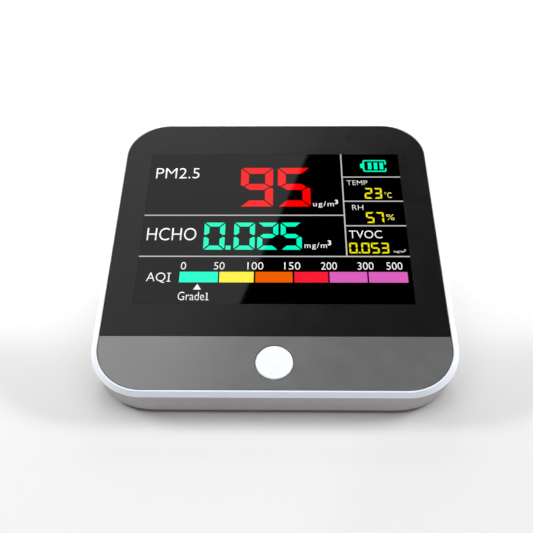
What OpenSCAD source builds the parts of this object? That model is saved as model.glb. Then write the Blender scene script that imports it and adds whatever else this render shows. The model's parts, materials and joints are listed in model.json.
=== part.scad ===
// Desktop air quality monitor: a sloping square face on a wedge-shaped body.
// Frame: +X to the right of the face, +Y to the back, +Z up, origin under the middle on the floor.

/* [Face] */
// Width of the dark front panel
panel_w = 85; // [84:0.5:86]
// Height of the dark front panel, measured up the slope
panel_h = 85.8; // [85:0.2:87]
// Corner radius of the front panel
panel_r = 11.6; // [11:0.2:12.4]
// Angle of the face above horizontal
face_tilt = 20; // [19:0.5:21]
// Thickness of the bezel, lens and trim
panel_t = 1.2; // [1:0.1:1.2]

/* [Rim] */
// How far the white rim stands out around the panel
rim_out = 1.55; // [1.4:0.05:1.7]
// Depth of the seam between rim and shell below the face
rim_drop = 0.8; // [0.7:0.05:0.9]
// Width of the flat bright lip, from the panel edge
lip_w = 0.5; // [0.4:0.05:0.6]
// Height of the lip above the face
lip_h = 0.1; // [0.05:0.05:0.15]

/* [Body] */
// Height of the front wall below the seam
front_wall_h = 4.3; // [4:0.1:4.4]
// Wall thickness of the rear shell
wall_t = 1.8; // [1.6:0.1:1.8]
// Thickness of the shell floor
floor_t = 1.5; // [1.3:0.1:1.5]
// Corner radius of the shell at its floor
base_r = 15; // [14.5:0.5:16]
// How far each side leans in at the floor
side_lean = 1; // [0.5:0.1:1]
// How far the back leans in at the floor
back_lean = 1; // [0.5:0.1:1]
// Height that the feet stand below the shell
foot_h = 0.5; // [0.4:0.1:0.6]

/* [Display] */
// Width of the glossy display window
window_w = 70.4; // [69:0.1:71]
// Height of the glossy display window
window_h = 51; // [50:0.1:51.5]
// Place of the window centre to the right of the panel centre
window_u = -0.22; // [-0.4:0.02:0]
// Height of the window centre above the panel centre
window_v = 6.1; // [5.8:0.1:6.4]
// Where the black panel ends and the grey trim starts
split_v = -28.6; // [-29:0.1:-28]

/* [Button] */
// Radius of the round button
button_r = 4.43; // [4.2:0.01:4.6]
// Place of the button centre below the panel centre
button_v = -35.7; // [-36:0.1:-35.4]
// Travel of the button
button_travel = 0.3; // [0.2:0.05:0.3]

/* [Vents] */
// Width of each air slot
slot_w = 1.6; // [1.2:0.1:2]
// Distance from slot to slot
slot_pitch = 3.6; // [3.2:0.1:4]

/* [Particle sensor] */
// Width of the particle sensor
pm_w = 35; // [34:0.5:35]
// Depth of the particle sensor
pm_d = 35.8; // [34:0.1:35.8]
// Height of the particle sensor
pm_h = 12; // [11:0.5:12]

/* [Battery] */
// Width of the pouch cell
battery_w = 34; // [30:1:34]
// Length of the pouch cell
battery_l = 40; // [36:1:40]
// Thickness of the pouch cell
battery_t = 6; // [5:0.5:6]

/* [Hidden] */

$fn = 48;
skin = 0.02;          // thickness of the slabs that a hull is stretched between
gap = 0.1;            // general clearance between pieces that are fitted together

// Outer size and the place of the face
rim_half = panel_h / 2 + rim_out;
outer_w = panel_w + 2 * rim_out;
outer_h = 2 * rim_half;
outer_r = panel_r + rim_out;
body_d = outer_h * cos(face_tilt);
front_y = -body_d / 2;
back_y = body_d / 2;
face_y = -rim_drop * sin(face_tilt);
face_z = foot_h + front_wall_h + rim_half * sin(face_tilt) + rim_drop * cos(face_tilt);
floor_z = foot_h + floor_t;

// Outline of the shell where it meets the floor
base_w = outer_w - 2 * side_lean;
base_d = body_d - back_lean;
base_y = -back_lean / 2;
edge_cut = 0.4;

// Skirt of the front frame that laps inside the shell
skirt_x = 0.85;
skirt_in = -0.45;
skirt_depth = 3.2;
seat_in = -3;
seat_gap = 0.12;
seat_depth = panel_t + 0.05;

// Screw posts that join frame and shell
post_x = 33.5;
post_y = 35;
post_r = 2.1;
boss_r = 2.6;
boss_top = floor_z + 1.2;
pilot_r = 1;
pilot_top = boss_top + 2.9;
screw_r = 0.95;
screw_head_r = 1.9;
screw_head_h = 1.2;
screw_l = 3.8;
foot_r = 3.4;
foot_t = 1;

// Display stack, as depths below the face
lens_flange_w = 73;
lens_flange_h = 53.6;
lens_flange_t = 0.5;
lcd_w = 74;
lcd_low = -23.4;
lcd_high = 33;
lcd_top = panel_t + lens_flange_t + gap;
glass_t = 1.1;
backlight_t = 2.2;
lcd_bottom = lcd_top + glass_t + backlight_t;
board_top = lcd_bottom + 1.1;
board_t = 1.2;
board_bottom = board_top + board_t;
board_w = 83.4;
board_low = -24;
board_step = -4;
board_high = 28;
board_leg_x = 5;
board_post_x = 40.2;
board_post_r = 1.5;
board_hole_r = 0.9;
board_pilot_r = 0.7;
board_screw_r = 0.65;
// One fixing for each entry: side of the board and height up the slope
board_fixings = [[-1, -20.5], [-1, -7.5], [1, -20.5], [1, -7.5], [1, 24]];

// Button stack, as depths below the face
button_proud = 0.12;
button_gap = 0.22;
button_flange_r = 5.5;
button_flange_t = 0.6;
button_stem_r = 1.4;
button_stem_end = 2.65;
plunger_r = 1.2;
plunger_fit = 0.05;
plunger_top = button_stem_end + 0.05;
plunger_end = plunger_top + 1.2;
switch_top = 3.1;
switch_w = 5.2;
button_board_top = 4.3;
button_board_t = 0.6;
button_board_w = 22;
button_board_low = -39.4;
button_board_high = -30.6;
button_ledge_x = 9;
button_ledge_w = 3;
button_ledge_low = -41;
button_ledge_high = -36.5;
button_pin_v = -38;
button_pin_r = 0.6;
button_pin_out = 0.4;
button_pin_fit = 0.05;

// Particle sensor
pm_x = -30.6;
pm_y = 2.6;
pm_wall = 1;
pm_cover_t = 0.6;
pm_top = floor_z + pm_h;
fan_x = pm_x + 11;
fan_y = pm_y + pm_d - 11.4;
fan_r = 8.6;
fan_hub_r = 3.4;
fan_z = floor_z + 2.6;
fan_h = 6;
fan_bore_r = 0.8;
shaft_r = 0.75;
blade_count = 9;
duct_w = 15;
inlet_x = pm_x + pm_w - 9;
inlet_w = 7;

// Battery
battery_x = 6;
battery_y = -9.5;
pad_t = 0.4;
lead_r = 0.45;
lead_pitch = 1.2;
lead_turn_r = 1.8;
plug_x = 20;
plug_v = -19.5;
plug_depth = board_bottom + 1.2;
lead_y = face_y + plug_v * cos(face_tilt) + plug_depth * sin(face_tilt) + lead_pitch / 2;
lead_z = face_z + plug_v * sin(face_tilt) - plug_depth * cos(face_tilt);

// Charging socket
usb_x = 18;
usb_w = 8.9;
usb_h = 3.2;
usb_board_w = 20;
usb_board_z = floor_z + 1.2;
usb_board_t = 1;
usb_board_front = 31.2;
usb_board_back = 38.7;
usb_front = 33;
usb_back = 40.1;
usb_screw_x = 7.6;
usb_screw_y = 34.4;

// Height of the outer face above a place y on the floor plan
function face_height(y) = face_z + (y - face_y) * tan(face_tilt);

// Puts children on the sloping face: local x right, y up the slope, z out of the face
module on_face(depth = 0) {
    translate([0, face_y, face_z])
        rotate([face_tilt, 0, 0])
            translate([0, 0, -depth])
                children();
}

// Flat outline of a rectangle with round corners
module rounded_rect(w, h, r) {
    square([w, h - 2 * r], center = true);
    square([w - 2 * r, h], center = true);
    for (x = [-1, 1], y = [-1, 1])
        translate([x * (w / 2 - r), y * (h / 2 - r)])
            circle(r);
}

// Sweeps a flat profile round a rounded rectangle: profile x is outwards, profile y is up
module ring_sweep(w, h, r) {
    for (flip = [0, 1]) {
        mirror([0, flip, 0])
            translate([-(w / 2 - r), h / 2, 0])
                rotate([90, 0, 90])
                    linear_extrude(w - 2 * r)
                        children();
        mirror([flip, 0, 0])
            translate([w / 2, h / 2 - r, 0])
                rotate([90, 0, 0])
                    linear_extrude(h - 2 * r)
                        children();
    }
    for (side = [-1, 1], end = [-1, 1])
        translate([side * (w / 2 - r), end * (h / 2 - r), 0])
            rotate([0, 0, end > 0 ? (side > 0 ? 0 : 90) : (side > 0 ? 270 : 180)])
                rotate_extrude(angle = 90)
                    translate([r, 0])
                        children();
}

// Places children at the four screw posts
module at_posts() {
    for (x = [-1, 1], y = [-1, 1])
        translate([x * post_x, y * post_y, 0])
            children();
}

// Places children at the main board fixings, on the face at a depth
module at_board_fixings(depth) {
    for (f = board_fixings)
        on_face(depth)
            translate([f[0] * board_post_x, f[1], 0])
                children();
}

// Two ledges behind the trim, each with a pin that is melted over the button board
module button_board_ledges() {
    ledge_h = button_board_top - seat_depth - gap;
    for (side = [-1, 1]) {
        on_face(button_board_top)
            translate([side * button_ledge_x - button_ledge_w / 2, button_ledge_low, 0])
                cube([button_ledge_w, button_ledge_high - button_ledge_low, ledge_h]);
        on_face(button_board_top + button_board_t + button_pin_out)
            translate([side * button_ledge_x, button_pin_v, 0])
                cylinder(h = button_board_t + button_pin_out + 1, r = button_pin_r);
    }
}

// White rim, lap skirt, seat for the panels with a notch for the button, and the posts behind them
module front_frame() {
    color("white") difference() {
        union() {
            on_face() ring_sweep(panel_w, panel_h, panel_r) frame_profile();
            for (x = [-1, 1], y = [-1, 1])
                translate([x * post_x, y * post_y, boss_top])
                    cylinder(h = face_height(y * post_y) - boss_top, r = post_r);
            on_face(skirt_depth) frame_tabs();
            at_board_fixings(board_top)
                cylinder(h = board_top - seat_depth - gap, r = board_post_r);
            button_board_ledges();
        }
        on_face(seat_depth)
            linear_extrude(panel_h)
                rounded_rect(panel_w + 2 * seat_gap, panel_h + 2 * seat_gap, panel_r + seat_gap);
        on_face(skirt_depth + 1) translate([0, button_v, 0])
            cylinder(h = skirt_depth + 1, r = button_flange_r + button_gap);
        at_posts() cylinder(h = pilot_top, r = pilot_r);
        at_board_fixings(board_top + 1) cylinder(h = 4.2, r = board_pilot_r);
    }
}

// Section of the rim: lip, sloping band, sloping skirt and the seat under the panels
module frame_profile() {
    polygon([
        [seat_gap, lip_h],
        [lip_w, lip_h],
        [rim_out, -rim_drop],
        [skirt_x, -rim_drop],
        [skirt_in, -skirt_depth],
        [seat_in, -skirt_depth],
        [seat_in, -seat_depth],
        [seat_gap, -seat_depth]
    ]);
}

// Small plates that carry the screw posts out to the rim
module frame_tabs() {
    tab_w = 2 * post_r;
    tab_low = 36;
    tab_high = panel_h / 2 - 2;
    tab_t = skirt_depth - seat_depth;
    for (x = [-1, 1], y = [-1, 1])
        translate([x * post_x, y * (tab_low + tab_high) / 2, tab_t / 2])
            cube([tab_w, tab_high - tab_low, tab_t], center = true);
}

// Outline that the bezel and the trim are cut from
module panel_outline() {
    rounded_rect(panel_w - 2 * gap, panel_h - 2 * gap, panel_r - gap);
}

// Satin black panel with the display opening
module display_bezel() {
    color("#2b2b2d") on_face(panel_t) linear_extrude(panel_t) difference() {
        intersection() {
            panel_outline();
            translate([-panel_w, split_v + gap / 2]) square([2 * panel_w, panel_h]);
        }
        translate([window_u, window_v]) square([window_w, window_h], center = true);
    }
}

// Glossy window, flush with the bezel, on a wider flange behind it
module display_lens() {
    color("#0c0c0e") on_face() {
        translate([window_u, window_v, -panel_t / 2])
            cube([window_w - gap, window_h - gap, panel_t], center = true);
        translate([window_u, window_v, -panel_t - lens_flange_t / 2])
            cube([lens_flange_w, lens_flange_h, lens_flange_t], center = true);
    }
}

// Grey band below the display, with the round hole for the button
module lower_trim() {
    color("#6e6e6e") on_face(panel_t) linear_extrude(panel_t) difference() {
        intersection() {
            panel_outline();
            translate([-panel_w, split_v - gap / 2 - panel_h]) square([2 * panel_w, panel_h]);
        }
        translate([0, button_v]) circle(button_r + button_gap);
    }
}

// Round cap with a retaining flange and a stem, turned as one profile
module power_button() {
    edge = 0.2;
    flange_top = panel_t + gap;
    flange_end = flange_top + button_flange_t;
    color("white") on_face() translate([0, button_v, 0]) rotate_extrude() polygon([
        [0, button_proud],
        [button_r - edge, button_proud],
        [button_r, button_proud - edge],
        [button_r, -flange_top],
        [button_flange_r, -flange_top],
        [button_flange_r, -flange_end],
        [button_stem_r, -flange_end],
        [button_stem_r, -button_stem_end],
        [0, -button_stem_end]
    ]);
}

// Outer solid of the shell: the rim outline above, the rounder base outline below
module shell_outside() {
    hull() {
        on_face(rim_drop + skin) linear_extrude(skin) rounded_rect(outer_w, outer_h, outer_r);
        translate([0, base_y, foot_h + edge_cut])
            linear_extrude(skin)
                rounded_rect(base_w, base_d, base_r);
        translate([0, base_y, foot_h])
            linear_extrude(skin)
                rounded_rect(base_w - 2 * edge_cut, base_d - 2 * edge_cut, base_r - edge_cut);
    }
}

// Space inside the shell, open at the top
module shell_inside() {
    hull() {
        on_face(rim_drop - 1)
            linear_extrude(skin)
                rounded_rect(outer_w - 2 * wall_t, outer_h - 2 * wall_t, outer_r - wall_t);
        translate([0, base_y, floor_z])
            linear_extrude(skin)
                rounded_rect(base_w - 2 * wall_t, base_d - 2 * wall_t, base_r - wall_t);
    }
}

// Rebate that takes the skirt of the front frame
module shell_rebate() {
    on_face() ring_sweep(panel_w, panel_h, panel_r) polygon([
        [seat_in - 1, 1],
        [skirt_x + gap, 1],
        [skirt_x + gap, -rim_drop],
        [skirt_in + gap, -skirt_depth - gap],
        [seat_in - 1, -skirt_depth - gap]
    ]);
}

// Air slots in both side walls, taller towards the back
module side_slots() {
    first_y = -14;
    slot_count = 11;
    slot_low = 6;
    for (i = [0 : slot_count - 1]) {
        y = first_y + i * slot_pitch;
        top = face_height(y) - 6;
        translate([-outer_w, y - slot_w / 2, slot_low])
            cube([2 * outer_w, slot_w, top - slot_low]);
    }
}

// Air slots in the back wall: the sensor ports below, the chamber above
module back_slots() {
    low_count = 9;
    high_count = 13;
    for (i = [0 : low_count - 1])
        translate([pm_x + 3 + i * slot_pitch, back_y - 5, floor_z + 2.4])
            cube([slot_w, 10, 7]);
    for (i = [0 : high_count - 1])
        translate([(i - (high_count - 1) / 2) * slot_pitch - slot_w / 2, back_y - 5, face_z - 1])
            cube([slot_w, 10, 8]);
}

// Round-ended opening for the charging socket
module usb_opening(w, h, depth) {
    rotate([-90, 0, 0]) linear_extrude(depth) {
        square([w - h, h], center = true);
        for (side = [-1, 1])
            translate([side * (w - h) / 2, 0]) circle(h / 2);
    }
}

// White wedge-shaped tub with bosses, slots and the socket opening
module rear_shell() {
    socket_z = usb_board_z + usb_board_t + usb_h / 2;
    head_pocket_r = screw_head_r + 0.15;
    color("#f2f2f2") difference() {
        union() {
            difference() {
                shell_outside();
                shell_inside();
            }
            at_posts() translate([0, 0, floor_z - 0.5]) cylinder(h = boss_top - floor_z + 0.5, r = boss_r);
            for (side = [-1, 1])
                translate([usb_x + side * usb_screw_x, usb_screw_y, floor_z - 0.5])
                    cylinder(h = usb_board_z - floor_z + 0.5, r = 1.8);
        }
        shell_rebate();
        side_slots();
        back_slots();
        translate([usb_x, back_y - 4, socket_z]) usb_opening(usb_w + 0.7, usb_h + 0.7, 8);
        at_posts() {
            cylinder(h = foot_h + foot_t / 2, r = foot_r + gap);
            cylinder(h = foot_t + screw_head_h, r = head_pocket_r);
            cylinder(h = boss_top + 1, r = pilot_r + 0.15);
        }
        for (side = [-1, 1])
            translate([usb_x + side * usb_screw_x, usb_screw_y, foot_h + 0.7])
                cylinder(h = 5, r = board_pilot_r);
    }
}

// Four round rubber pads that hide the screw heads
module rubber_feet() {
    color("#3a3a3a") at_posts() cylinder(h = foot_t, r = foot_r);
}

// Pan-head screw standing on its head, with a cross slot in the head
module standing_screw(head_r, head_h, shank_r, shank_l) {
    difference() {
        union() {
            cylinder(h = head_h, r = head_r);
            cylinder(h = head_h + shank_l, r = shank_r);
        }
        for (a = [0, 90])
            rotate([0, 0, a]) cube([head_r * 1.2, head_r * 0.25, head_h], center = true);
    }
}

// Four screws from below, through the shell into the frame posts
module shell_screws() {
    color("silver") at_posts()
        translate([0, 0, foot_t])
            standing_screw(screw_head_r, screw_head_h, screw_r, screw_l);
}

// Blank label under the body
module rating_label() {
    label_t = 0.1;
    color("#e8e8e8") translate([0, 0, foot_h - label_t])
        linear_extrude(label_t)
            rounded_rect(38, 22, 2);
}

// Display glass
module lcd_panel() {
    glass_low = lcd_low + 2.2;
    color("#23262b") on_face(lcd_top + glass_t)
        translate([-(lcd_w - 1.6) / 2, glass_low, 0])
            cube([lcd_w - 1.6, lcd_high - 0.8 - glass_low, glass_t]);
}

// White backlight tray under the glass, hollowed below
module lcd_frame() {
    rib = 2;
    sheet = 1;
    color("#f4f4ee") on_face(lcd_bottom) difference() {
        translate([-lcd_w / 2, lcd_low, 0]) cube([lcd_w, lcd_high - lcd_low, backlight_t]);
        translate([-lcd_w / 2 + rib, lcd_low + rib, -1])
            cube([lcd_w - 2 * rib, lcd_high - lcd_low - 2 * rib, backlight_t - sheet + 1]);
    }
}

// Foam strips between the display and the main board
module display_foam() {
    foam_w = 3;
    color("#303030") on_face(board_top) {
        translate([-34, board_low + 1, 0]) cube([20, foam_w, board_top - lcd_bottom]);
        translate([14, board_low + 1, 0]) cube([20, foam_w, board_top - lcd_bottom]);
        translate([9, board_high - 5, 0]) cube([25, foam_w, board_top - lcd_bottom]);
    }
}

// Folded display ribbon: under the glass edge, round the fold, back to the connector
module display_ribbon() {
    ribbon_w = 18;
    ribbon_t = 0.2;
    fold_v = lcd_low - 0.6;
    upper = lcd_top + glass_t - ribbon_t / 2 - 0.05;
    lower = board_top - 0.5;
    fold_r = (lower - upper) / 2;
    color("#c9762b") on_face() translate([-ribbon_w / 2, 0, 0]) rotate([90, 0, 90])
        linear_extrude(ribbon_w) {
            difference() {
                translate([fold_v, -(upper + lower) / 2]) circle(fold_r + ribbon_t / 2);
                translate([fold_v, -(upper + lower) / 2]) circle(fold_r - ribbon_t / 2);
                translate([fold_v, -10]) square([10, 20]);
            }
            translate([fold_v, -upper - ribbon_t / 2]) square([2.7, ribbon_t]);
            translate([fold_v, -lower - ribbon_t / 2]) square([4, ribbon_t]);
        }
}

// Low connector that takes the display ribbon
module ribbon_connector() {
    connector_v = lcd_low + 3.4;
    color("#ece6d8") on_face(board_top)
        translate([-10, connector_v, 0])
            cube([20, 3, 0.95]);
}

// L-shaped main board: a front strip and a leg up the right side
module main_board() {
    color("#1f6b3a") on_face(board_bottom) linear_extrude(board_t) difference() {
        union() {
            translate([-board_w / 2, board_low]) square([board_w, board_step - board_low]);
            translate([board_leg_x, board_low])
                square([board_w / 2 - board_leg_x, board_high - board_low]);
        }
        for (f = board_fixings)
            translate([f[0] * board_post_x, f[1]]) circle(board_hole_r);
        translate([-board_w / 2 + 9, board_low + 4]) square([1, 12]);
    }
}

// Microcontroller on the main board
module main_chip() {
    color("#1b1b1b") on_face(board_top) translate([-14, -16.6, 0]) cube([9, 9, 0.9]);
}

// One small chip or part, centred on a place, over or under the board
module chip(x, v, w, h, t, under = false) {
    on_face(under ? board_bottom + t : board_top)
        translate([x - w / 2, v - h / 2, 0])
            cube([w, h, t]);
}

// Memory, regulators and passive parts on both sides of the main board
module board_chips() {
    color("#2a2a2a") {
        chip(2, -14, 5, 4, 0.8);
        chip(-26, -12, 4, 4, 0.8);
        chip(26, -8, 6, 5, 0.8);
        chip(20, 8, 7, 7, 0.8);
        chip(33, 12, 3, 5, 0.8);
        for (i = [0 : 5])
            chip(-20 + 3 * i, -6, 1.6, 0.9, 0.5);
        chip(30, -2, 5, 5, 1.6, true);
        chip(14, 14, 6, 6, 2.4, true);
        for (i = [0 : 4])
            chip(12 + 4 * i, 22, 2, 1.3, 0.8, true);
    }
}

// Pan-head screws that hold the main board to the frame posts
module board_screws() {
    head_h = 1;
    color("silver") at_board_fixings(board_bottom + head_h)
        standing_screw(1.4, head_h, board_screw_r, 4.2);
}

// Round sounder under the board
module buzzer() {
    color("#202020") on_face(board_bottom + 2.6) translate([-21, -11, 0]) difference() {
        cylinder(h = 2.6, r = 4.2);
        translate([0, 0, -1]) cylinder(h = 1.6, r = 0.8);
    }
}

// Temperature and humidity sensor at the left end of the board
module climate_sensor() {
    color("#e8e8e8") on_face(board_bottom + 1) translate([-38.6, -16.5, 0]) difference() {
        cube([3, 3, 1]);
        translate([1.5, 1.5, -1]) cylinder(h = 1.3, r = 0.6);
    }
}

// Gas sensor for volatile compounds, with a small metal lid
module tvoc_sensor() {
    color("#b8b8b8") on_face(board_bottom + 1) translate([-38.6, -12.6, 0]) difference() {
        cube([3, 3, 1]);
        for (x = [1, 2], y = [1, 2])
            translate([x, y, -1]) cylinder(h = 1.3, r = 0.25);
    }
}

// Round formaldehyde cell that hangs from the leg of the board
module hcho_sensor() {
    can_h = 5.4;
    color("#d9dde0") on_face(board_bottom + can_h) translate([31.5, 12, 0]) difference() {
        union() {
            cylinder(h = can_h, r = 6.6);
            cylinder(h = 1, r = 7);
        }
        translate([0, 0, -1]) cylinder(h = 1.6, r = 3);
    }
}

// Narrow board under the button
module button_board() {
    color("#1f6b3a") on_face(button_board_top + button_board_t) difference() {
        translate([-button_board_w / 2, button_board_low, 0])
            cube([button_board_w, button_board_high - button_board_low, button_board_t]);
        for (side = [-1, 1])
            translate([side * button_ledge_x, button_pin_v, -1])
                cylinder(h = button_board_t + 2, r = button_pin_r + button_pin_fit);
    }
}

// Low switch body with a round guide for its plunger
module tact_switch() {
    color("#303030") on_face(button_board_top) translate([0, button_v, 0]) difference() {
        translate([-switch_w / 2, -switch_w / 2, 0])
            cube([switch_w, switch_w, button_board_top - switch_top]);
        translate([0, 0, -1]) cylinder(h = 4, r = plunger_r + plunger_fit);
    }
}

// Plunger that the button stem pushes
module tact_plunger() {
    color("#c8a040") on_face(plunger_end)
        translate([0, button_v, 0])
            cylinder(h = plunger_end - plunger_top, r = plunger_r);
}

// Flat ribbon from the button board down to the main board
module button_ribbon() {
    ribbon_w = 6;
    ribbon_t = 0.15;
    under_button = button_board_top + button_board_t;
    color("#c9762b") on_face() translate([6, 0, 0]) rotate([90, 0, 90])
        linear_extrude(ribbon_w) polygon([
            [button_board_high - 2, -under_button],
            [button_board_high + 0.2, -under_button],
            [board_low - 0.6, -board_top + ribbon_t],
            [board_low + 0.8, -board_top + ribbon_t],
            [board_low + 0.8, -board_top],
            [board_low - 0.7, -board_top],
            [button_board_high + 0.1, -under_button - ribbon_t],
            [button_board_high - 2, -under_button - ribbon_t]
        ]);
}

// Pouch cell with a folded seal strip at the front end
module battery() {
    seal = 1.6;
    color("#b9bec6") translate([battery_x, battery_y, floor_z + pad_t]) {
        translate([0, seal, 0]) cube([battery_w, battery_l - seal, battery_t]);
        translate([1.5, 0, 1]) cube([battery_w - 3, seal, battery_t - 2]);
    }
}

// Adhesive pad under the cell
module battery_pad() {
    color("#4a4a4a") translate([battery_x + 3, battery_y + 4, floor_z])
        cube([battery_w - 6, battery_l - 8, pad_t]);
}

// Lead from the cell: straight out, a quarter turn, straight into the plug
module battery_lead(order) {
    bend_y = lead_y + lead_turn_r;
    bend_x = 13;
    turn = lead_turn_r + order * lead_pitch;
    translate([bend_x - turn, bend_y, lead_z])
        rotate([-90, 0, 0])
            cylinder(h = battery_y - bend_y, r = lead_r, $fn = 24);
    translate([bend_x, bend_y, lead_z])
        rotate([0, 0, 180])
            rotate_extrude(angle = 90)
                translate([turn, 0])
                    circle(lead_r, $fn = 24);
    translate([bend_x, bend_y - turn, lead_z])
        rotate([0, 90, 0])
            cylinder(h = plug_x - bend_x, r = lead_r, $fn = 24);
}

module battery_lead_red() {
    color("#c02020") battery_lead(1);
}

module battery_lead_black() {
    color("#181818") battery_lead(0);
}

// Plug and header under the main board
module battery_plug() {
    color("#efe9dc") on_face(board_bottom + 2.6)
        translate([plug_x, plug_v - 2.4, 0])
            cube([4.4, 4.8, 2.6]);
}

// Lower case of the particle sensor: open top, air ports at the back, a wall round the fan
module pm_case() {
    case_h = pm_h - pm_cover_t;
    port_z = 2.4;
    port_h = 6;
    fan_wall_r = fan_r + 0.9;
    color("#3c4046") difference() {
        translate([pm_x, pm_y, floor_z]) difference() {
            cube([pm_w, pm_d, case_h]);
            translate([pm_wall, pm_wall, pm_wall])
                cube([pm_w - 2 * pm_wall, pm_d - 2 * pm_wall, case_h]);
        }
        translate([fan_x - duct_w / 2, pm_y + pm_d - 3, floor_z + port_z]) cube([duct_w, 6, port_h]);
        translate([inlet_x, pm_y + pm_d - 3, floor_z + port_z]) cube([inlet_w, 6, port_h]);
    }
    color("#3c4046") translate([fan_x, fan_y, floor_z + pm_wall]) difference() {
        cylinder(h = case_h - pm_wall, r = fan_wall_r + 0.8);
        translate([0, 0, -1]) cylinder(h = case_h + 2, r = fan_wall_r);
        translate([-duct_w / 2, 0, -1]) cube([duct_w, 2 * fan_wall_r, case_h + 2]);
        translate([0, -2 * fan_wall_r, port_z - pm_wall]) cube([6, fan_wall_r * 2, 4]);
    }
}

// Pressed metal lid of the particle sensor
module pm_cover() {
    color("#c4c8cc") translate([pm_x, pm_y, pm_top - pm_cover_t]) cube([pm_w, pm_d, pm_cover_t]);
}

// Foam frame that seals the air ports against the back wall
module pm_gasket() {
    gasket_t = 0.4;
    gasket_y = pm_y + pm_d;
    color("#2c2c2c") difference() {
        translate([pm_x + 1.5, gasket_y, floor_z + 1.4]) cube([pm_w - 3, gasket_t, 8.4]);
        translate([fan_x - duct_w / 2, gasket_y - 1, floor_z + 2.4]) cube([duct_w, 3, 6]);
        translate([inlet_x, gasket_y - 1, floor_z + 2.4]) cube([inlet_w, 3, 6]);
    }
}

// Circuit board inside the particle sensor
module pm_board() {
    color("#23528f") translate([pm_x + pm_wall + 0.3, pm_y + pm_wall + 0.3, floor_z + pm_wall])
        cube([pm_w - 2 * pm_wall - 0.6, 11.4, 1]);
}

// Laser diode can in its holder
module laser_module() {
    holder_x = pm_x + pm_w - 13;
    holder_y = pm_y + 3;
    base_z = floor_z + pm_wall + 1;
    color("#b08d3c") {
        translate([holder_x, holder_y, base_z]) cube([6, 7, 6]);
        translate([holder_x + 6, holder_y + 3.5, base_z + 3])
            rotate([0, 90, 0])
                cylinder(h = 3, r = 1.7);
    }
}

// Light detector block, square to the laser beam
module light_detector() {
    color("#202428") translate([pm_x + 8, pm_y + 4, floor_z + pm_wall + 1]) difference() {
        cube([7, 5, 3]);
        translate([3.5, 2.5, 2]) cylinder(h = 2, r = 1.3);
    }
}

// Fan stator: base disc and the fixed shaft
module fan_motor() {
    color("#5a5a5a") translate([fan_x, fan_y, floor_z + pm_wall]) {
        cylinder(h = fan_z - floor_z - pm_wall - 0.4, r = fan_hub_r + 1.2);
        cylinder(h = fan_z - floor_z - pm_wall + fan_h - 1.6, r = shaft_r);
    }
}

// Radial blower wheel with a blind bore for the shaft
module fan_rotor() {
    color("#1d1d1d") translate([fan_x, fan_y, fan_z]) {
        difference() {
            union() {
                cylinder(h = fan_h - 0.6, r = fan_hub_r);
                cylinder(h = 0.8, r = fan_r - 1);
            }
            translate([0, 0, -1]) cylinder(h = fan_h, r = fan_bore_r);
        }
        for (i = [0 : blade_count - 1])
            rotate([0, 0, i * 360 / blade_count])
                translate([fan_hub_r - 0.3, -0.35, 0])
                    rotate([0, 0, -18])
                        cube([fan_r - fan_hub_r - 0.3, 0.7, fan_h - 1.2]);
    }
}

// Header for the particle sensor, under the main board
module pm_connector() {
    color("#efe9dc") on_face(board_bottom + 2.2) translate([-8, -11, 0]) cube([9, 4, 2.2]);
}

// Flat ribbon from the header to the particle sensor
module pm_ribbon() {
    ribbon_t = 0.5;
    header_v = -7;
    header_depth = board_bottom + 1.2;
    start_y = face_y + header_v * cos(face_tilt) + header_depth * sin(face_tilt);
    start_z = face_z + header_v * sin(face_tilt) - header_depth * cos(face_tilt);
    end_z = floor_z + 6;
    color("#d8d4cc") translate([-7, 0, 0]) rotate([90, 0, 90]) linear_extrude(7) polygon([
        [start_y, start_z],
        [start_y + 2.4, start_z - 0.4],
        [pm_y - 1.6, end_z + ribbon_t],
        [pm_y, end_z + ribbon_t],
        [pm_y, end_z],
        [pm_y - 1.9, end_z],
        [start_y + 2.1, start_z - 0.4 - ribbon_t],
        [start_y + 0.2, start_z - ribbon_t]
    ]);
}

// Small power board behind the cell
module usb_board() {
    color("#1f6b3a") translate([usb_x, usb_board_front, usb_board_z]) difference() {
        translate([-usb_board_w / 2, 0, 0])
            cube([usb_board_w, usb_board_back - usb_board_front, usb_board_t]);
        for (side = [-1, 1])
            translate([side * usb_screw_x, usb_screw_y - usb_board_front, -1])
                cylinder(h = 3, r = board_hole_r);
    }
}

// Hollow socket shell with its tongue
module usb_socket() {
    shell_t = 0.3;
    color("#c9ccd0") translate([usb_x, usb_front, usb_board_z + usb_board_t + usb_h / 2]) {
        difference() {
            usb_opening(usb_w, usb_h, usb_back - usb_front);
            translate([0, 1.2, 0]) usb_opening(usb_w - 2 * shell_t, usb_h - 2 * shell_t, 10);
        }
        translate([-2.8, 0.6, -0.35]) cube([5.6, usb_back - usb_front - 1.6, 0.7]);
    }
}

// Screws of the power board
module usb_screws() {
    head_h = 1;
    color("silver") for (side = [-1, 1])
        translate([usb_x + side * usb_screw_x, usb_screw_y, usb_board_z + usb_board_t + head_h])
            rotate([180, 0, 0])
                standing_screw(1.4, head_h, board_screw_r, 2.6);
}

front_frame();
display_bezel();
display_lens();
lower_trim();
power_button();
rear_shell();
rubber_feet();
shell_screws();
rating_label();
lcd_panel();
lcd_frame();
display_foam();
display_ribbon();
ribbon_connector();
main_board();
main_chip();
board_chips();
board_screws();
buzzer();
climate_sensor();
tvoc_sensor();
hcho_sensor();
button_board();
tact_switch();
tact_plunger();
button_ribbon();
battery();
battery_pad();
battery_lead_red();
battery_lead_black();
battery_plug();
pm_case();
pm_cover();
pm_gasket();
pm_board();
laser_module();
light_detector();
fan_motor();
fan_rotor();
pm_connector();
pm_ribbon();
usb_board();
usb_socket();
usb_screws();
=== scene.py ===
"""Looks of the desktop air quality monitor: display, materials, floor, light and camera."""
import json
import math

import bmesh
import bpy
from mathutils import Matrix, Quaternion, Vector


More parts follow.
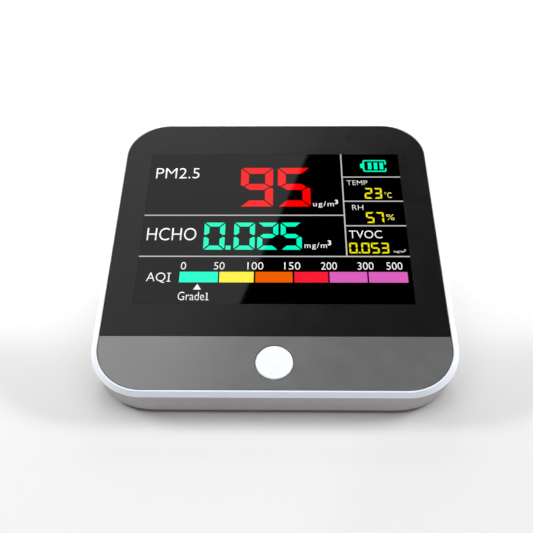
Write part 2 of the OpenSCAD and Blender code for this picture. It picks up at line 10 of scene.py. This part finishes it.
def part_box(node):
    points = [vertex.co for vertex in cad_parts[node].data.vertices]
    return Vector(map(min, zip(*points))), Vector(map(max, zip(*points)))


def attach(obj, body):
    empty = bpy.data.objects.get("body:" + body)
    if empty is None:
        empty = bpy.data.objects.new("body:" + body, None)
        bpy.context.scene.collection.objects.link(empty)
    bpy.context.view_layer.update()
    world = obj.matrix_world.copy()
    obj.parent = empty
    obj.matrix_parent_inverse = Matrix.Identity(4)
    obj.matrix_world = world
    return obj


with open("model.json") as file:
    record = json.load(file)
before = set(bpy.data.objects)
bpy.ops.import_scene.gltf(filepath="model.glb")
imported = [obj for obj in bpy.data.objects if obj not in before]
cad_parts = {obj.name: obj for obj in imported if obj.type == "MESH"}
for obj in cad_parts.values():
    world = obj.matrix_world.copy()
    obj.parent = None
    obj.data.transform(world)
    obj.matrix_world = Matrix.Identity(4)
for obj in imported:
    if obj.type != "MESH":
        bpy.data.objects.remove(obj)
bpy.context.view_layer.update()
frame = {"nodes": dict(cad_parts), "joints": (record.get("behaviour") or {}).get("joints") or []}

MM = 0.001
HOUSING = "housing"
nodes = frame["nodes"]

# ---------------------------------------------------------------- the sloping face
PANEL_T = 1.2 * MM          # thickness of the bezel and the trim
SEAM_GAP = 0.1 * MM         # half of the hairline between neighbouring panels
press = next(j for j in frame["joints"] if j["name"] == "button_press")
normal = -Vector(press["axis"]).normalized()
up_face = Vector((0, normal.z, -normal.y))
bezel_low, bezel_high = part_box("display_bezel")
trim_low, trim_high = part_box("lower_trim")
panel_w = bezel_high[0] - bezel_low[0] + 2 * SEAM_GAP
face_centre = Vector((
    0,
    (bezel_high[1] + trim_low[1] - PANEL_T * up_face.z) / 2,
    (bezel_high[2] + trim_low[2] + PANEL_T * normal.z) / 2,
))
FACE = Matrix((
    (1, 0, 0, 0),
    (0, up_face.y, normal.y, face_centre.y),
    (0, up_face.z, normal.z, face_centre.z),
    (0, 0, 0, 1),
))


def on_face(u, v, w=0.0):
    """World point of a place on the face: u right, v up the slope, w outwards, in mm."""
    return FACE @ Vector((u * MM, v * MM, w * MM))


# ---------------------------------------------------------------- camera
FOCAL = 51.0                # mm on a 36 mm sensor
CAM_OFFSET = Vector((0.0154, -1.4175, 1.8616))   # from the face centre, in panel widths
AIM_OFFSET = Vector((-0.0252, -0.0934, 0.0))     # where the axis meets the face
CAM_ROLL = -0.633           # degrees about the view axis


def make_camera():
    data = bpy.data.cameras.new("camera")
    data.lens = FOCAL
    data.sensor_width = 36
    data.clip_start = 0.01
    data.clip_end = 20
    cam = bpy.data.objects.new("camera", data)
    bpy.context.scene.collection.objects.link(cam)
    cam.location = FACE @ (CAM_OFFSET * panel_w)
    aim = FACE @ (AIM_OFFSET * panel_w)
    cam.rotation_mode = "QUATERNION"
    roll = Quaternion((0, 0, 1), math.radians(CAM_ROLL))
    cam.rotation_quaternion = (aim - cam.location).to_track_quat("-Z", "Y") @ roll
    bpy.context.scene.camera = cam
    return cam


camera = make_camera()

# ---------------------------------------------------------------- materials
MIX_COLOR_A, MIX_COLOR_B, MIX_COLOR_OUT = 6, 7, 2   # the Mix node's colour sockets
LENS_ROUGH = 0.04


class Shader:
    """A Principled material that is built up with procedural detail."""

    def __init__(self, name, color, rough, **sockets):
        self.mat = bpy.data.materials.new(name)
        self.mat.use_nodes = True
        self.tree = self.mat.node_tree
        self.bsdf = self.tree.nodes["Principled BSDF"]
        self.bsdf.inputs["Base Color"].default_value = (*color, 1)
        self.bsdf.inputs["Roughness"].default_value = rough
        for key, value in sockets.items():
            self.bsdf.inputs[key.replace("_", " ")].default_value = value
        self.color = color
        self.rough = rough
        self.place = None

    def node(self, kind, **values):
        made = self.tree.nodes.new(kind)
        for key, value in values.items():
            made.inputs[key].default_value = value
        return made

    def link(self, a, b):
        self.tree.links.new(a, b)

    def coords(self):
        """Object coordinates: every piece sits at the origin, so these are metres in the frame."""
        if self.place is None:
            self.place = self.node("ShaderNodeTexCoord").outputs["Object"]
        return self.place

    def noise(self, scale, detail=2.0, rough=0.5, stretch=None):
        made = self.node("ShaderNodeTexNoise", Scale=scale, Detail=detail, Roughness=rough)
        place = self.coords()
        if stretch is not None:
            mapping = self.node("ShaderNodeMapping")
            mapping.inputs["Scale"].default_value = stretch
            self.link(place, mapping.inputs["Vector"])
            place = mapping.outputs["Vector"]
        self.link(place, made.inputs["Vector"])
        return made.outputs["Fac"]

    def spread(self, source, low, high):
        made = self.node("ShaderNodeMapRange")
        made.inputs["To Min"].default_value = low
        made.inputs["To Max"].default_value = high
        made.inputs["From Min"].default_value = 0.3
        made.inputs["From Max"].default_value = 0.7
        self.link(source, made.inputs["Value"])
        return made.outputs["Result"]

    def vary_rough(self, source, amount):
        self.link(self.spread(source, self.rough - amount, self.rough + amount),
                  self.bsdf.inputs["Roughness"])
        return self

    def vary_color(self, source, amount):
        mix = self.node("ShaderNodeMix")
        mix.data_type = "RGBA"
        mix.inputs[MIX_COLOR_A].default_value = (*[c * (1 - amount) for c in self.color], 1)
        mix.inputs[MIX_COLOR_B].default_value = (
            *[min(c * (1 + amount), 1) for c in self.color], 1)
        self.link(self.spread(source, 0, 1), mix.inputs["Factor"])
        self.link(mix.outputs[MIX_COLOR_OUT], self.bsdf.inputs["Base Color"])
        return self

    def bump(self, source, depth_mm, strength=1.0):
        made = self.node("ShaderNodeBump", Strength=strength, Distance=depth_mm * MM)
        self.link(source, made.inputs["Height"])
        self.link(made.outputs["Normal"], self.bsdf.inputs["Normal"])
        return self


def moulded(name, color, rough, grain=2600, depth=0.004, tone=0.03, **sockets):
    """Injection-moulded plastic: fine spark grain, faint flow marks, uneven gloss."""
    s = Shader(name, color, rough, **sockets)
    s.vary_color(s.noise(60, 3), tone)
    s.vary_rough(s.noise(240, 3), rough * 0.12)
    s.bump(s.noise(grain, 2), depth)
    return s


def metal(name, color, rough, stretch=(1, 1, 1), grain=3000):
    s = Shader(name, color, rough, Metallic=1.0)
    s.vary_color(s.noise(180, 3), 0.08)
    s.vary_rough(s.noise(grain, 2, stretch=stretch), rough * 0.3)
    s.bump(s.noise(grain, 2, stretch=stretch), 0.002)
    return s


def glowing(name, color, strength=1.0):
    """A lit display segment behind the glossy window: it also takes the window's sheen."""
    s = Shader(name, (0, 0, 0), LENS_ROUGH)
    s.bsdf.inputs["Emission Color"].default_value = (*color, 1)
    s.bsdf.inputs["Emission Strength"].default_value = strength
    s.bump(s.noise(900, 2), 0.0006)
    return s.mat


def make_lens():
    s = Shader("window_gloss", (0.0, 0.0, 0.0), LENS_ROUGH)
    s.vary_rough(s.noise(40, 3), 0.006)
    s.bump(s.noise(90, 2), 0.0006)
    return s.mat


def make_board(name):
    """Solder mask with copper tracks under it."""
    s = Shader(name, (0.012, 0.13, 0.045), 0.28)
    tracks = s.node("ShaderNodeTexVoronoi", Scale=420.0)
    tracks.feature = "DISTANCE_TO_EDGE"
    tracks.distance = "CHEBYCHEV"
    s.link(s.coords(), tracks.inputs["Vector"])
    s.vary_color(tracks.outputs["Distance"], 0.35)
    s.bump(tracks.outputs["Distance"], 0.02)
    return s.mat


def make_label():
    s = Shader("label_film", (0.78, 0.78, 0.77), 0.38)
    s.vary_color(s.noise(300, 4), 0.03)
    s.bump(s.noise(1500, 3), 0.004)
    return s.mat


WHITE_RIM = moulded("rim_white", (0.88, 0.905, 0.97), 0.2, depth=0.0012, tone=0.012).mat
SHELL = moulded("shell_warm_white", (0.47, 0.418, 0.405), 0.42, depth=0.006).mat
BEZEL = moulded("bezel_satin", (0.005, 0.005, 0.0052), 0.31, grain=3200, depth=0.0015,
                tone=0.1).mat
TRIM = moulded("trim_grey", (0.323, 0.323, 0.323), 0.33, grain=3200, depth=0.002,
               Metallic=0.66).mat
BUTTON = moulded("button_white", (0.93, 0.95, 0.955), 0.3, depth=0.001, tone=0.012).mat
LENS = make_lens()
RUBBER = moulded("rubber_foot", (0.03, 0.03, 0.032), 0.75, grain=1500, depth=0.02, tone=0.15).mat
STEEL = metal("screw_zinc", (0.62, 0.62, 0.64), 0.3).mat
CAN = metal("sensor_can", (0.72, 0.73, 0.75), 0.25).mat
BRASS = metal("laser_brass", (0.62, 0.44, 0.16), 0.25).mat
FOIL = metal("cell_foil", (0.55, 0.57, 0.6), 0.42, grain=700).mat
GLASS = Shader("lcd_glass", (0.012, 0.013, 0.016), 0.08).mat
TRAY = moulded("tray_white", (0.85, 0.85, 0.83), 0.35).mat
FOAM = moulded("foam_black", (0.02, 0.02, 0.02), 0.9, grain=1300, depth=0.12, tone=0.3).mat
RIBBON = moulded("ribbon_film", (0.55, 0.24, 0.05), 0.3, grain=900, depth=0.003, tone=0.1).mat
CONNECTOR = moulded("connector_nylon", (0.8, 0.76, 0.66), 0.45).mat
BOARD = make_board("board_green")
EPOXY = moulded("chip_epoxy", (0.014, 0.014, 0.015), 0.5, grain=2400, depth=0.01, tone=0.2).mat
CASE = moulded("sensor_case", (0.045, 0.05, 0.056), 0.45, depth=0.01).mat
WIRE_RED = moulded("wire_red", (0.5, 0.02, 0.02), 0.4).mat
WIRE_BLACK = moulded("wire_black", (0.012, 0.012, 0.012), 0.4).mat
FLAT_CABLE = moulded("flat_cable", (0.55, 0.52, 0.48), 0.45).mat
AMBER = moulded("plunger_amber", (0.5, 0.36, 0.08), 0.4).mat
LABEL = make_label()

NODE_LOOKS = {
    "front_frame": WHITE_RIM, "display_bezel": BEZEL, "display_lens": LENS,
    "lower_trim": TRIM, "power_button": BUTTON, "rear_shell": SHELL,
    "rubber_feet": RUBBER, "shell_screws": STEEL, "rating_label": LABEL,
    "lcd_panel": GLASS, "lcd_frame": TRAY, "display_foam": FOAM,
    "display_ribbon": RIBBON, "ribbon_connector": CONNECTOR, "main_board": BOARD,
    "main_chip": EPOXY, "board_chips": EPOXY, "board_screws": STEEL, "buzzer": EPOXY,
    "climate_sensor": CONNECTOR, "tvoc_sensor": CAN, "hcho_sensor": CAN,
    "button_board": BOARD, "tact_switch": EPOXY, "tact_plunger": AMBER,
    "button_ribbon": RIBBON, "battery": FOIL, "battery_pad": FOAM,
    "battery_lead_red": WIRE_RED, "battery_lead_black": WIRE_BLACK,
    "battery_plug": CONNECTOR, "pm_case": CASE, "pm_cover": CAN, "pm_gasket": FOAM,
    "pm_board": BOARD, "laser_module": BRASS, "light_detector": EPOXY,
    "fan_motor": CASE, "fan_rotor": EPOXY, "pm_connector": CONNECTOR,
    "pm_ribbon": FLAT_CABLE, "usb_board": BOARD, "usb_socket": STEEL, "usb_screws": STEEL,
}

# radius in mm on the edges that the light catches
SOFT_EDGES = {
    "front_frame": 0.06, "rear_shell": 0.12, "rubber_feet": 0.15, "battery": 0.5, "pm_case": 0.2,
}
BEVEL_ANGLE = math.radians(50)   # edges sharper than this are rounded
SPLIT_ANGLE = math.radians(32)   # edges sharper than this stay crisp in the shading


def dress_nodes():
    """Gives each CAD node its material and smooth curved faces with crisp sharp edges; the nodes in
    SOFT_EDGES also get a small radius on their edges.
    """
    for name, mat in NODE_LOOKS.items():
        obj = nodes[name]
        obj.data.materials.clear()
        obj.data.materials.append(mat)
        obj.data.shade_smooth()
        if name in SOFT_EDGES:
            bevel = obj.modifiers.new("edge_radius", "BEVEL")
            bevel.width = SOFT_EDGES[name] * MM
            bevel.segments = 2
            bevel.limit_method = "ANGLE"
            bevel.angle_limit = BEVEL_ANGLE
            bevel.use_clamp_overlap = True
        split = obj.modifiers.new("sharp_edges", "EDGE_SPLIT")
        split.split_angle = SPLIT_ANGLE


dress_nodes()

# ---------------------------------------------------------------- display art
# All places are in mm on the face, from its centre.
ART_LOW = -0.02             # the art's underside, inside the window
ART_HIGH = 0.012            # its top, just proud of the window
WINDOW_LEFT, WINDOW_RIGHT = -35.4, 34.95
WINDOW_TOP, WINDOW_BOTTOM = 31.6, -19.4
DIVIDER_U = 18.68
LINE_T = 0.35
ROW_LOW, ROW_MID = -4.72, 9.05
SIDE_ROWS = (22.85, 14.0, 5.43)
SMALL_T, SMALL_GAP = 0.48, 0.16   # stroke and gap of the small readings
SMALL_W = 2.15


def art_piece(name, loops, mat, low=ART_LOW, high=ART_HIGH):
    """Thin solid pieces on the face, one for each closed outline in loops."""
    bm = bmesh.new()
    for loop in loops:
        bottom = [bm.verts.new(on_face(u, v, low)) for u, v in loop]
        top = [bm.verts.new(on_face(u, v, high)) for u, v in loop]
        bm.faces.new(top)
        bm.faces.new(bottom[::-1])
        for i in range(len(loop)):
            k = (i + 1) % len(loop)
            bm.faces.new((bottom[i], bottom[k], top[k], top[i]))
    bmesh.ops.recalc_face_normals(bm, faces=bm.faces)
    return add_piece(name, bm, mat)


def add_piece(name, bm, mat, body=HOUSING):
    mesh = bpy.data.meshes.new(name)
    bm.to_mesh(mesh)
    bm.free()
    obj = bpy.data.objects.new(name, mesh)
    bpy.context.scene.collection.objects.link(obj)
    mesh.materials.append(mat)
    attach(obj, body)
    return obj


def bar(u0, v0, u1, v1):
    return [(u0, v0), (u1, v0), (u1, v1), (u0, v1)]


SEGMENTS_ON = {
    "0": "abcdef", "1": "bc", "2": "abged", "3": "abgcd", "4": "fgbc",
    "5": "afgcd", "6": "afgedc", "7": "abc", "8": "abcdefg", "9": "abcdfg",
}


def digit(char, u, v, w, h, t, gap):
    """Outlines of one seven-segment digit with its low left corner at (u, v)."""
    o = gap * 0.7
    mid = h / 2
    half = t / 2
    upper_right = [
        (w, mid + o + t * 0.14), (w, h - o), (w - t, h - t - o),
        (w - t, mid + half + o), (w - t * 0.36, mid + o),
    ]
    shapes = {
        "a": [(o, h), (w - o, h), (w - t - o, h - t), (t + o, h - t)],
        "d": [(o, 0), (w - o, 0), (w - t - o, t), (t + o, t)],
        "g": [
            (t * 0.36 + o, mid), (t + o, mid + half), (w - t - o, mid + half),
            (w - t * 0.36 - o, mid), (w - t - o, mid - half), (t + o, mid - half),
        ],
        "b": upper_right,
        "c": [(x, h - y) for x, y in upper_right],
        "f": [(w - x, y) for x, y in upper_right],
        "e": [(w - x, h - y) for x, y in upper_right],
    }
    return [[(u + x, v + y) for x, y in shapes[s]] for s in SEGMENTS_ON[char]]


def number(text, places, v, w, h, t, gap, dot=None):
    """Outlines of a reading: a digit at each u in places, and its point at dot."""
    loops = []
    for char, u in zip(text.replace(".", ""), places):
        loops += digit(char, u, v, w, h, t, gap)
    if dot is not None:
        loops.append(bar(dot, v, dot + t, v + t))
    return loops


RED = glowing("lit_red", (1.0, 0.0, 0.0))
CYAN = glowing("lit_cyan", (0.0, 1.0, 0.56))
YELLOW = glowing("lit_yellow", (0.95, 0.87, 0.006))
WHITE = glowing("lit_white", (0.95, 0.95, 0.95))
LINE_GREY = glowing("lit_line", (0.55, 0.55, 0.55))
SCALE_COLORS = (
    ("scale_cyan", (0.0, 1.0, 0.6)), ("scale_yellow", (1.0, 0.87, 0.05)),
    ("scale_orange", (0.87, 0.117, 0.0)), ("scale_red", (0.95, 0.012, 0.036)),
    ("scale_pink", (0.716, 0.117, 0.515)), ("scale_rose", (0.716, 0.117, 0.515)),
)

art_piece("reading_dust", number("95", (-9.6, 0.72), 12.12, 8.97, 14.2, 2.2, 0.42), RED)
art_piece("reading_hcho", number(
    "0.025", (-18.85, -10.9, -4.68, 1.5), -2.55, 5.55, 9.05, 1.34, 0.42, dot=-12.95), CYAN)
art_piece("reading_temp", number(
    "23", (24.6, 27.2), 14.95, SMALL_W, 3.8, SMALL_T, SMALL_GAP), YELLOW)
art_piece("reading_rh", number(
    "57", (24.5, 27.1), 6.4, SMALL_W, 3.7, SMALL_T, SMALL_GAP), YELLOW)
art_piece("reading_tvoc", number(
    "0.053", (19.45, 22.6, 25.15, 27.65), -3.7, 2.12, 3.42, 0.43, 0.15, dot=21.85), YELLOW)
art_piece("divider_lines", [
    bar(DIVIDER_U - LINE_T / 2, ROW_LOW + LINE_T / 2, DIVIDER_U + LINE_T / 2, WINDOW_TOP),
    bar(WINDOW_LEFT, ROW_MID - LINE_T / 2, DIVIDER_U - LINE_T / 2, ROW_MID + LINE_T / 2),
    bar(WINDOW_LEFT, ROW_LOW - LINE_T / 2, WINDOW_RIGHT, ROW_LOW + LINE_T / 2),
] + [bar(DIVIDER_U + LINE_T / 2, v - LINE_T / 2, WINDOW_RIGHT, v + LINE_T / 2) for v in SIDE_ROWS],
    LINE_GREY)

SCALE_TOP, SCALE_BOTTOM = -9.62, -12.9
SCALE_EDGES = (
    (-24.35, -14.52), (-14.14, -5.39), (-4.93, 4.52),
    (5.0, 13.57), (13.98, 23.52), (23.93, 33.81),
)
for (u0, u1), (name, color) in zip(SCALE_EDGES, SCALE_COLORS):
    art_piece(name, [bar(u0, SCALE_BOTTOM, u1, SCALE_TOP)], glowing("lit_" + name, color))
art_piece("scale_pointer", [[(-20.6, -15.1), (-18.6, -15.1), (-19.6, -13.35)]], WHITE)


def battery_icon():
    """Outline of a cell with its cap on the left, three bars, and an open right side."""
    left, right, low, high, t = 24.75, 31.35, 24.85, 29.3, 0.42
    cut_low, cut_high = 26.1, 27.6
    loops = [
        bar(left + t, low, right - t * 0.4, low + t),
        bar(left + t, high - t, right - t * 0.4, high),
        [(left, low + t * 0.8), (left + t, low), (left + t, high), (left, high - t * 0.8)],
        bar(right - t, low + t, right, cut_low),
        bar(right - t, cut_high, right, high - t),
        [(left - 0.75, 26.4), (left, 26.1), (left, 28.1), (left - 0.75, 27.8)],
    ]
    for u in (26.2, 27.85, 29.5):
        loops.append(bar(u, low + 0.95, u + 1.0, high - 0.95))
    return loops


art_piece("cell_icon", battery_icon(), CYAN)


def label(name, text, u0, v0, u1, v1, mat, bold=-0.01, spacing=1.0):
    """Text stretched to fill a box on the face, as a thin solid."""
    curve = bpy.data.curves.new(name + "_text", "FONT")
    curve.body = text
    curve.resolution_u = 4
    curve.offset = bold
    curve.space_character = spacing
    temp = bpy.data.objects.new(name + "_text", curve)
    bpy.context.scene.collection.objects.link(temp)
    bpy.context.view_layer.update()
    depsgraph = bpy.context.evaluated_depsgraph_get()
    mesh = bpy.data.meshes.new_from_object(temp.evaluated_get(depsgraph))
    bpy.data.objects.remove(temp)
    bpy.data.curves.remove(curve)
    xs = [p.co.x for p in mesh.vertices]
    ys = [p.co.y for p in mesh.vertices]
    sx = (u1 - u0) / (max(xs) - min(xs))
    sy = (v1 - v0) / (max(ys) - min(ys))
    x0, y0 = min(xs), min(ys)
    bm = bmesh.new()
    bm.from_mesh(mesh)
    bpy.data.meshes.remove(mesh)
    for p in bm.verts:
        p.co = on_face(u0 + (p.co.x - x0) * sx, v0 + (p.co.y - y0) * sy, ART_LOW)
    bmesh.ops.remove_doubles(bm, verts=bm.verts, dist=0.002 * MM)
    bmesh.ops.recalc_face_normals(bm, faces=bm.faces)
    for f in bm.faces:
        if f.normal.dot(normal) < 0:
            f.normal_flip()
    grown = bmesh.ops.extrude_face_region(bm, geom=bm.faces[:])
    for p in grown["geom"]:
        if isinstance(p, bmesh.types.BMVert):
            p.co += normal * (ART_HIGH - ART_LOW) * MM
    bmesh.ops.recalc_face_normals(bm, faces=bm.faces)
    return add_piece(name, bm, mat)


SCALE_NUMBERS = (
    ("0", -23.55), ("50", -14.31), ("100", -5.0), ("150", 4.5),
    ("200", 13.9), ("300", 23.29), ("500", 30.67),
)
NUMBER_W, NUMBER_LOW, NUMBER_HIGH = 1.36, -8.9, -6.6
for text, u in SCALE_NUMBERS:
    half = NUMBER_W * len(text) / 2
    label("scale_number_" + text, text, u - half, NUMBER_LOW, u + half, NUMBER_HIGH, WHITE)
label("label_dust", "PM2.5", -33.6, 22.4, -21.4, 26.3, WHITE)
label("label_hcho", "HCHO", -34.0, 0.5, -20.9, 4.66, WHITE)
label("label_index", "AQ", -32.8, -13.1, -27.9, -9.9, WHITE)
art_piece("label_index_end", [
    bar(-27.2, -12.45, -26.9, -10.2),
    bar(-27.55, -12.7, -26.55, -12.45),
    bar(-27.55, -10.2, -26.55, -9.95),
], WHITE)
label("label_grade", "Grade", -24.3, -18.3, -17.65, -15.8, WHITE)
art_piece("label_grade_end", [
    [(-17.1, -18.05), (-16.85, -18.05), (-16.85, -16.05), (-17.1, -16.05),
     (-17.35, -16.25), (-17.35, -16.5), (-17.1, -16.35)],
    bar(-17.4, -18.3, -16.55, -18.05),
], WHITE)
label("label_temp", "TEMP", 19.9, 19.9, 25.6, 21.55, WHITE, bold=-0.02)
label("label_rh", "RH", 20.95, 10.9, 23.9, 12.65, WHITE, bold=-0.02)
label("label_tvoc", "TVOC", 19.6, 1.25, 28.3, 3.8, WHITE)
label("unit_dust", "ug/m", 10.35, 11.7, 16.0, 13.9, WHITE, bold=0, spacing=1.2)
label("unit_dust_power", "3", 16.3, 13.0, 17.15, 14.5, WHITE, bold=0.02)
label("unit_hcho", "mg/m", 7.75, -2.5, 13.6, -0.25, WHITE, bold=0, spacing=1.2)
label("unit_hcho_power", "3", 13.85, -1.1, 14.75, 0.5, WHITE, bold=0.02)
label("unit_tvoc", "mg/m", 30.9, -3.7, 33.5, -2.7, WHITE, bold=0, spacing=1.1)
label("unit_tvoc_power", "3", 33.6, -3.1, 34.05, -2.4, WHITE)
label("unit_temp", "°C", 30.05, 15.2, 32.0, 17.2, YELLOW)
label("unit_rh", "%", 29.9, 7.4, 32.1, 9.35, YELLOW)

# ---------------------------------------------------------------- floor
FLOOR_HALF = 3.0
FLOOR_Z = -0.03 * MM
PAINTED_LIGHT_START, PAINTED_LIGHT_END, PAINTED_LIGHT_STRENGTH = -0.02, 0.12, 0.3   # y range and strength of the painted light: a glow that lifts the floor to white


def make_floor():
    bm = bmesh.new()
    corners = bar(-FLOOR_HALF, -FLOOR_HALF, FLOOR_HALF, FLOOR_HALF)
    bm.faces.new([bm.verts.new((x, y, FLOOR_Z)) for x, y in corners])
    mesh = bpy.data.meshes.new("floor")
    bm.to_mesh(mesh)
    bm.free()
    floor = bpy.data.objects.new("floor", mesh)
    bpy.context.scene.collection.objects.link(floor)
    s = Shader("floor_white", (0.68, 0.68, 0.68), 0.12)
    mesh.materials.append(s.mat)
    # painted light: the floor glows, rising to pure white away from the front of the object, in
    # place of light falling on the far floor
    split = s.node("ShaderNodeSeparateXYZ")
    s.link(s.coords(), split.inputs["Vector"])
    ramp = s.node("ShaderNodeMapRange")
    ramp.interpolation_type = "SMOOTHSTEP"
    ramp.inputs["From Min"].default_value = PAINTED_LIGHT_START
    ramp.inputs["From Max"].default_value = PAINTED_LIGHT_END
    ramp.inputs["To Max"].default_value = PAINTED_LIGHT_STRENGTH
    s.link(split.outputs["Y"], ramp.inputs["Value"])
    s.bsdf.inputs["Emission Color"].default_value = (1, 1, 1, 1)
    s.link(ramp.outputs["Result"], s.bsdf.inputs["Emission Strength"])
    # clear from below, so that the underside can be seen
    facing = s.node("ShaderNodeNewGeometry").outputs["Backfacing"]
    mix = s.node("ShaderNodeMixShader")
    s.link(facing, mix.inputs[0])
    s.link(s.bsdf.outputs[0], mix.inputs[1])
    s.link(s.node("ShaderNodeBsdfTransparent").outputs[0], mix.inputs[2])
    s.link(mix.outputs[0], s.tree.nodes["Material Output"].inputs["Surface"])


make_floor()

# ---------------------------------------------------------------- light


def area_light(name, place, aim, size, power, color=(1, 1, 1), glossy=True):
    data = bpy.data.lights.new(name, "AREA")
    data.shape = "RECTANGLE"
    data.size, data.size_y = size
    data.energy = power
    data.color = color
    obj = bpy.data.objects.new(name, data)
    bpy.context.scene.collection.objects.link(obj)
    obj.location = place
    obj.rotation_mode = "QUATERNION"
    obj.rotation_quaternion = (Vector(aim) - Vector(place)).to_track_quat("-Z", "Y")
    obj.visible_glossy = glossy
    return obj


def low_light(name, turn, rise, distance, size, power, color=(1, 1, 1)):
    """Softbox at a compass turn from straight behind and a height angle, both in degrees."""
    turn, rise = math.radians(turn), math.radians(rise)
    flat = distance * math.cos(rise)
    place = (flat * math.sin(turn), flat * math.cos(turn), distance * math.sin(rise))
    area_light(name, place, (0, 0, 0), size, power, color, glossy=False)


def card_power(radiance, size):
    return radiance * math.pi * size[0] * size[1]


def mirror_card(name, place, aim, size, radiance):
    """Bright card that shows only in reflections, such as the sheen of the floor."""
    card = area_light(name, place, aim, size, card_power(radiance, size))
    card.visible_diffuse = False
    return card


def mirrored(u, v, height):
    """Where the camera sees a plane at this height in the mirror of the window."""
    point = on_face(u, v)
    view = point - camera.location
    bounce = view - 2 * view.dot(normal) * normal
    return point + bounce * ((height - point.z) / bounce.z)


CARD_Z = 0.42               # height of the card over the table
CARD_SIZE = (0.5, 0.9)
CARD_RADIANCE = 0.75
SHEEN_TOP_U, SHEEN_BOTTOM_U = 9.1, -8.75   # where the sheen's edge crosses the window's ends


def sheen_card():
    """Softbox whose straight right edge makes the slanting edge of sheen in the window."""
    a = mirrored(SHEEN_TOP_U, WINDOW_TOP, CARD_Z)
    b = mirrored(SHEEN_BOTTOM_U, WINDOW_BOTTOM, CARD_Z)
    along = (b - a).normalized()
    left = Vector((-abs(along.y), along.x * math.copysign(1, along.y), 0))
    centre = (a + b) / 2 + left * CARD_SIZE[0] / 2
    up = Vector((0, 0, 1))
    card = mirror_card("sheen_card", centre, centre - up, CARD_SIZE, CARD_RADIANCE)
    card.rotation_quaternion = Matrix((left, up.cross(left), up)).transposed().to_quaternion()


sheen_card()
area_light("top_soft", (0, 0.4, 0.9), (0, 0.4, 0), (1.8, 1.4), 12.8, glossy=False)
low_light("back_strip", 0, 20, 1.3, (0.7, 0.16), 6)
low_light("side_left", -68, 24, 1.4, (0.5, 0.2), 13.4)
low_light("side_right", 68, 24, 1.4, (0.5, 0.2), 14.8)
low_light("front_fill", 180, 12, 1.3, (0.9, 0.25), 4.9, color=(0.85, 0.92, 1.0))

# what the polished floor and the glossy edges mirror: a wall of light behind, a sheet overhead
mirror_card("backdrop", (0, 1.3, 0.56), (0, 0, 0.56), (6.0, 1.12), 3.15)
mirror_card("floor_sheen", (0, 0.645, 0.9), (0, 0.645, 0), (3.0, 0.59), 1.55)


def make_world():
    """Pale horizon that turns black overhead; it shows in views and mirrors, but gives no light."""
    world = bpy.data.worlds.new("studio")
    world.use_nodes = True
    tree = world.node_tree
    back = tree.nodes["Background"]
    place = tree.nodes.new("ShaderNodeTexCoord")
    split = tree.nodes.new("ShaderNodeSeparateXYZ")
    ramp = tree.nodes.new("ShaderNodeMapRange")
    ramp.interpolation_type = "SMOOTHSTEP"
    ramp.inputs["From Min"].default_value = 0.45
    ramp.inputs["From Max"].default_value = 0.62
    ramp.inputs["To Min"].default_value = 0.9
    ramp.inputs["To Max"].default_value = 0.0
    back.inputs["Color"].default_value = (0.93, 0.96, 1.0, 1)
    tree.links.new(place.outputs["Generated"], split.inputs["Vector"])
    tree.links.new(split.outputs["Z"], ramp.inputs["Value"])
    tree.links.new(ramp.outputs["Result"], back.inputs["Strength"])
    world.cycles_visibility.diffuse = False
    bpy.context.scene.world = world


make_world()
bpy.context.scene.view_settings.view_transform = "Standard"
bpy.context.scene.view_settings.look = "None"
